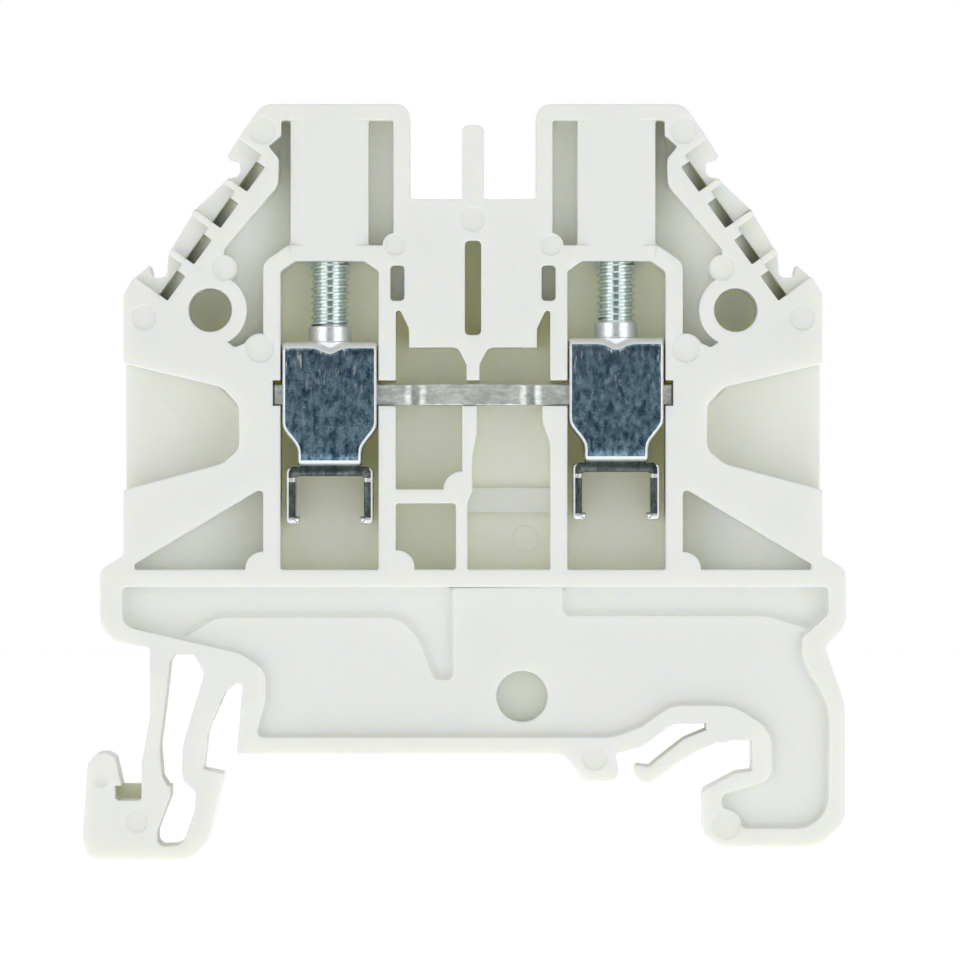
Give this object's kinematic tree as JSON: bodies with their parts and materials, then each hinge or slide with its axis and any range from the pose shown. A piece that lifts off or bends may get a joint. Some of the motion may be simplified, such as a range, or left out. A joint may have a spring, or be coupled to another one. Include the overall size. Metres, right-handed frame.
{
  "type": "din rail terminal block",
  "caption": "Feed-through rail terminal block with an open-sided moulding, rising cage screw clamps at each end and a sprung rail foot.",
  "frame": {"origin": "centre of the rail seat: on the rail's centre line, on the seat plane, halfway through the block's thickness", "axes": "+Z away from the rail, +Y along the rail towards the closed wall, +X towards the fixed rail hook"},
  "size_m": [0.049, 0.0063, 0.0485],
  "materials": {
    "plastic": "off-white moulded polyamide, fine matt",
    "tinned_copper": "dull tin plating on copper",
    "cage_steel": "blue-passivated zinc plating, mottled",
    "guard_steel": "blue-passivated zinc plating",
    "screw_steel": "bright zinc plating, faintly green"
  },
  "bodies": {
    "block": {"housing": "plastic", "latch_leg_outer": "plastic", "latch_leg_inner": "plastic", "current_bar": "tinned_copper"},
    "latch": {"latch_foot": "plastic"},
    "finger": {"spring_finger": "plastic"},
    "screw_left": {"clamping_screw_left": "screw_steel"},
    "cage_left": {"clamping_yoke_left": "cage_steel", "wire_guard_left": "guard_steel"},
    "screw_right": {"clamping_screw_right": "screw_steel"},
    "cage_right": {"clamping_yoke_right": "cage_steel", "wire_guard_right": "guard_steel"}
  },
  "joints": [
    {"name": "latch_release", "type": "slide", "parent": "block", "child": "latch", "axis": [-1, 0, 0], "range_m": [0, 0.0016], "stiffness_N_per_m": 4000, "deforming": ["latch_leg_outer", "latch_leg_inner"]},
    {"name": "finger_flex", "type": "hinge", "parent": "block", "child": "finger", "pos_m": [0.0156, 0, 0.00175], "axis": [0, 1, 0], "range_deg": [0, 8], "stiffness_Nm_per_rad": 0.15},
    {"name": "cage_lift_left", "type": "slide", "parent": "block", "child": "cage_left", "axis": [0, 0, 1], "range_m": [-0.0009, 0.003]},
    {"name": "screw_turn_left", "type": "hinge", "parent": "block", "child": "screw_left", "pos_m": [-0.00955, -0.0003, 0.028], "axis": [0, 0, -1], "range_deg": [-724, 2404]},
    {"name": "cage_lift_right", "type": "slide", "parent": "block", "child": "cage_right", "axis": [0, 0, 1], "range_m": [-0.00117, 0.00273]},
    {"name": "screw_turn_right", "type": "hinge", "parent": "block", "child": "screw_right", "pos_m": [0.00885, -0.0003, 0.028], "axis": [0, 0, -1], "range_deg": [-940, 2188]}
  ],
  "couplings": [
    {"joint": "screw_turn_left", "follows": "cage_lift_left", "rad_per_m": 13963},
    {"joint": "screw_turn_right", "follows": "cage_lift_right", "rad_per_m": 13963}
  ]
}
